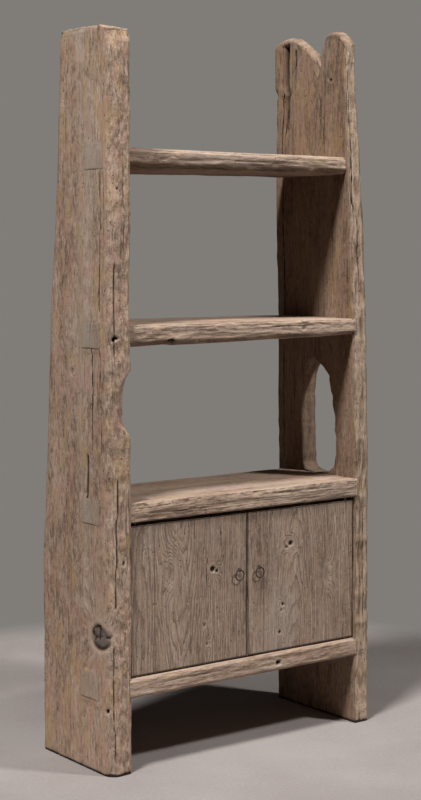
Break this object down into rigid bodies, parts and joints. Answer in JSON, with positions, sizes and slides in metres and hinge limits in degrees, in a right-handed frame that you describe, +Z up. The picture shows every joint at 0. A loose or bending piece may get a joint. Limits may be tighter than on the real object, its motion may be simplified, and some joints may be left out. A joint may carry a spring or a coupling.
{
  "type": "open shelf unit with cupboard",
  "caption": "Tall rustic shelf unit of thick planks housed between two live-edge slabs, with a two-door cupboard with iron ring pulls at its foot.",
  "frame": {"origin": "on the floor, in the middle of the bounding box's footprint", "axes": "+Z up, +Y to the back, +X to the viewer's right when facing the doors"},
  "size_m": [1, 0.44, 2.2],
  "materials": {
    "old_elm": "weathered, unsealed, rough",
    "door_elm": "weathered, planed and brushed",
    "inner_boards": "rough sawn",
    "grey_plug_wood": "planed flush",
    "dark_iron": "hand-forged, lightly rusted",
    "zinc_steel": "zinc plated",
    "brass": "turned",
    "brown_plastic": "moulded"
  },
  "bodies": {
    "carcass": {"left_slab": "old_elm", "right_slab": "old_elm", "bottom_board": "old_elm", "cupboard_top": "old_elm", "middle_shelf": "old_elm", "top_shelf": "old_elm", "back_board_1": "inner_boards", "back_board_2": "inner_boards", "back_board_3": "inner_boards", "back_board_4": "inner_boards", "back_nails": "dark_iron", "stop_rail": "inner_boards", "stop_rail_screws": "zinc_steel", "magnet_catches": "brown_plastic", "catch_screws": "zinc_steel", "pivot_bushes": "brass", "left_shelf_screws": "zinc_steel", "right_shelf_screws": "zinc_steel", "left_slab_plugs": "grey_plug_wood", "right_slab_plugs": "grey_plug_wood"},
    "left_door": {"left_door_narrow_plank": "door_elm", "left_door_wide_plank": "door_elm", "left_door_battens": "inner_boards", "left_batten_screws": "zinc_steel", "left_pivot_pins": "zinc_steel", "left_strike_plate": "zinc_steel", "left_strike_screw": "zinc_steel", "left_pull_eye": "dark_iron", "left_pull_washer": "dark_iron"},
    "left_ring": {"left_pull_ring": "dark_iron"},
    "right_door": {"right_door_narrow_plank": "door_elm", "right_door_wide_plank": "door_elm", "right_door_battens": "inner_boards", "right_batten_screws": "zinc_steel", "right_pivot_pins": "zinc_steel", "right_strike_plate": "zinc_steel", "right_strike_screw": "zinc_steel", "right_pull_eye": "dark_iron", "right_pull_washer": "dark_iron"},
    "right_ring": {"right_pull_ring": "dark_iron"}
  },
  "joints": [
    {"name": "left_door_hinge", "type": "hinge", "parent": "carcass", "child": "left_door", "pos_m": [-0.393, -0.177, 0.5], "axis": [0, 0, -1], "range_deg": [0, 100]},
    {"name": "right_door_hinge", "type": "hinge", "parent": "carcass", "child": "right_door", "pos_m": [0.409, -0.177, 0.5], "axis": [0, 0, 1], "range_deg": [0, 100]},
    {"name": "left_ring_swing", "type": "hinge", "parent": "left_door", "child": "left_ring", "pos_m": [-0.027, -0.1985, 0.552], "axis": [-1, 0, 0], "range_deg": [-10, 160]},
    {"name": "right_ring_swing", "type": "hinge", "parent": "right_door", "child": "right_ring", "pos_m": [0.05, -0.1985, 0.552], "axis": [-1, 0, 0], "range_deg": [-10, 160]}
  ]
}
